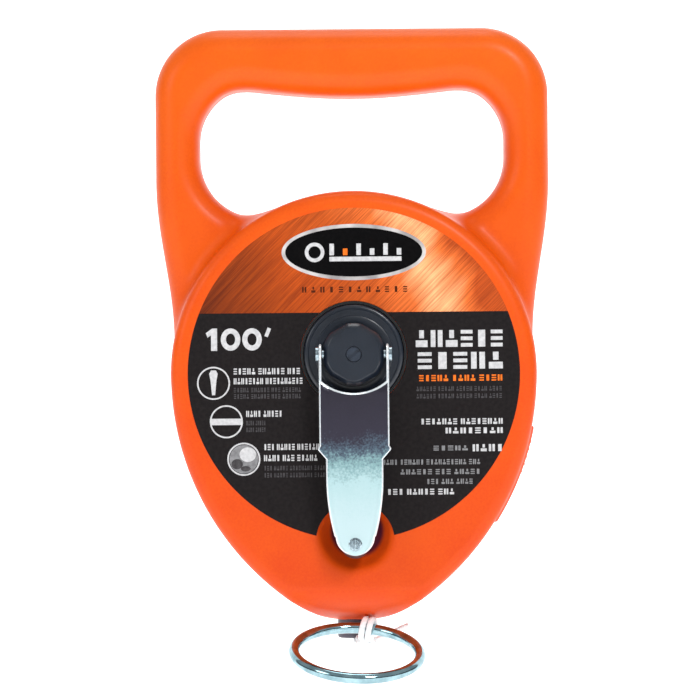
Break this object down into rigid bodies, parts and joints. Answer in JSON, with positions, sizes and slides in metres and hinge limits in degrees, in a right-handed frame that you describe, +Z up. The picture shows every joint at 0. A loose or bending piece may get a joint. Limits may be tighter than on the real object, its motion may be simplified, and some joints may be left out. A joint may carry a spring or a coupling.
{
  "type": "chalk line reel",
  "caption": "Chalk line reel with an orange D-handled case, folding steel crank on a dark hub, printed round face, side fill door and a round pull ring on the line's end.",
  "frame": {"origin": "middle of the grip bar, where a hand or a hook carries the reel", "axes": "+Z up from the nose to the grip, the printed face looks along -Y, +X towards the fill door"},
  "size_m": [0.1296, 0.0791, 0.2135],
  "materials": {
    "orange_case": "semi-gloss moulded",
    "orange_door": "semi-gloss moulded",
    "printed_label": "satin print on black film with a copper band",
    "dark_nozzle": "satin",
    "felt": "felt",
    "dark_felt": "felt",
    "brass_bush": "machined",
    "chalked_line": "braided line dusted with chalk",
    "white_line": "braided line",
    "spool_plastic": "moulded",
    "steel_screws": "zinc plated",
    "dark_hub": "satin dark",
    "dark_screw": "blackened",
    "steel_pins": "turned",
    "polished_steel": "bright plated",
    "black_knob": "satin",
    "chrome_ring": "bright chrome"
  },
  "bodies": {
    "case": {"front_shell": "orange_case", "rear_shell": "orange_case", "case_screws": "steel_screws", "face_label": "printed_label", "line_nozzle": "dark_nozzle", "wiper_felts": "felt", "hub_felt": "dark_felt", "front_bush": "brass_bush", "rear_bush": "brass_bush", "line_lead": "chalked_line", "line_end": "white_line", "line_knot": "white_line"},
    "reel": {"reel_spool": "spool_plastic", "wound_line": "chalked_line", "reel_axle": "steel_screws", "drag_spring": "steel_screws", "hub_disc": "dark_hub", "hex_boss": "dark_hub", "hub_screw": "dark_screw", "hinge_pins": "steel_pins"},
    "crank": {"crank_arm": "polished_steel", "knob_rivet": "steel_pins"},
    "knob": {"crank_knob": "black_knob"},
    "door": {"chalk_door": "orange_door"},
    "ring": {"hook_ring": "chrome_ring"}
  },
  "joints": [
    {"name": "reel_spin", "type": "hinge", "parent": "case", "child": "reel", "pos_m": [0, 0, -0.0964], "axis": [0, 1, 0], "continuous": true},
    {"name": "crank_fold", "type": "hinge", "parent": "reel", "child": "crank", "pos_m": [0, -0.03175, -0.0964], "axis": [-1, 0, 0], "range_deg": [0, 180]},
    {"name": "knob_spin", "type": "hinge", "parent": "crank", "child": "knob", "pos_m": [0, -0.031, -0.1581], "axis": [0, 1, 0], "continuous": true},
    {"name": "door_slide", "type": "hinge", "parent": "case", "child": "door", "pos_m": [-0.03105, 0, -0.1028], "axis": [0, 1, 0], "range_deg": [0, 20]},
    {"name": "ring_swing", "type": "hinge", "parent": "case", "child": "ring", "pos_m": [0.004, -0.014, -0.1868], "axis": [0.982, -0.1551, -0.108], "range_deg": [-20, 70]}
  ]
}
